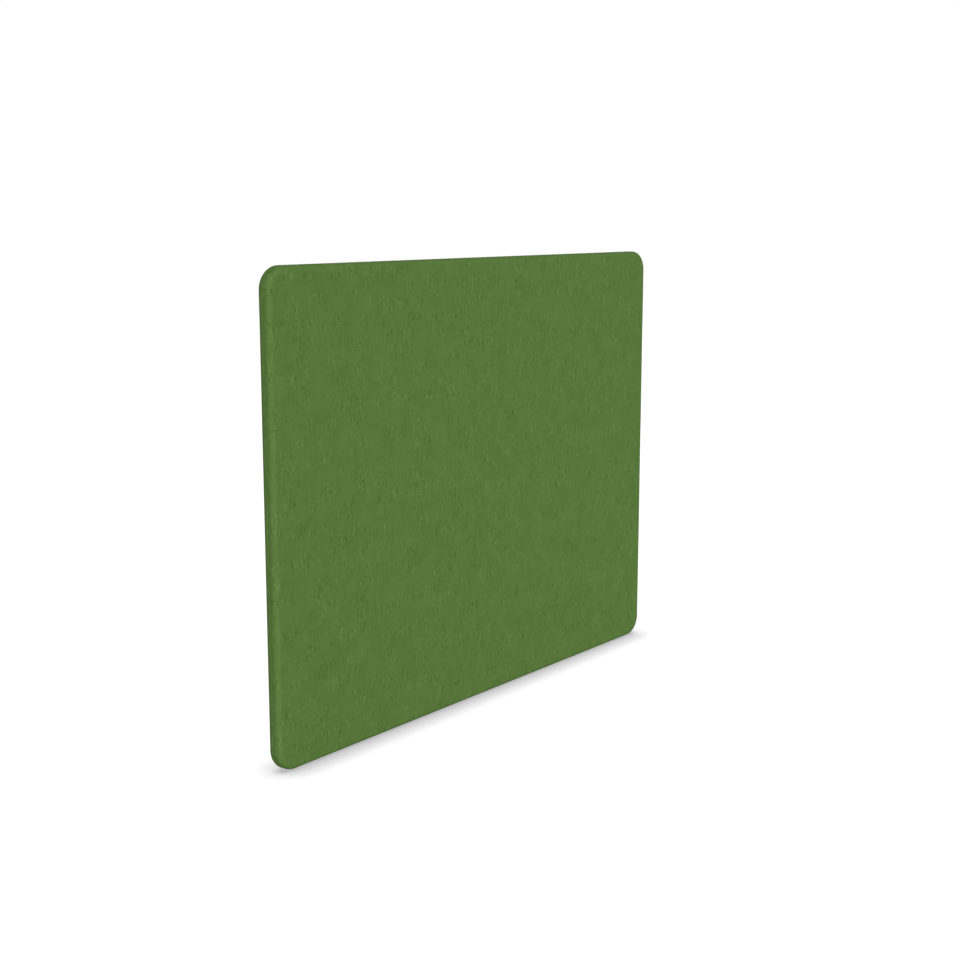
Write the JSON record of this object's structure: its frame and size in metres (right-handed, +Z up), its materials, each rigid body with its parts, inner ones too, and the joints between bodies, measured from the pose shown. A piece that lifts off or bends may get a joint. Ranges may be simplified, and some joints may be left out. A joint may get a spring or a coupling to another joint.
{
  "type": "acoustic divider screen",
  "caption": "Upright rectangular acoustic divider screen with rounded corners and soft edges, covered all over in woven fabric.",
  "frame": {"origin": "middle of the underside, on the surface that the screen stands on", "axes": "+X along the screen, +Y through it from the front to the back, +Z up"},
  "size_m": [0.8, 0.02, 0.6],
  "materials": {
    "frame_timber": "planed softwood, unfinished",
    "hardboard": "hardboard, smooth one side",
    "absorber_wool": "needled polyester fibre slab",
    "lining_felt": "thin felt",
    "cover_fabric": "plain woven melange upholstery cloth, moss green",
    "zinc_steel": "zinc plated"
  },
  "bodies": {
    "root": {"top_rail": "frame_timber", "bottom_rail": "frame_timber", "left_stile": "frame_timber", "right_stile": "frame_timber", "centre_mullion": "frame_timber", "corner_lap_screws": "zinc_steel", "mullion_lap_screws": "zinc_steel", "bracket_inserts_left": "zinc_steel", "bracket_inserts_right": "zinc_steel", "barrier_board_left": "hardboard", "barrier_board_right": "hardboard", "absorber_front_left": "absorber_wool", "absorber_front_right": "absorber_wool", "absorber_back_left": "absorber_wool", "absorber_back_right": "absorber_wool", "front_felt": "lining_felt", "back_felt": "lining_felt", "cover_staples": "zinc_steel", "front_cover": "cover_fabric", "back_cover": "cover_fabric"}
  },
  "joints": []
}
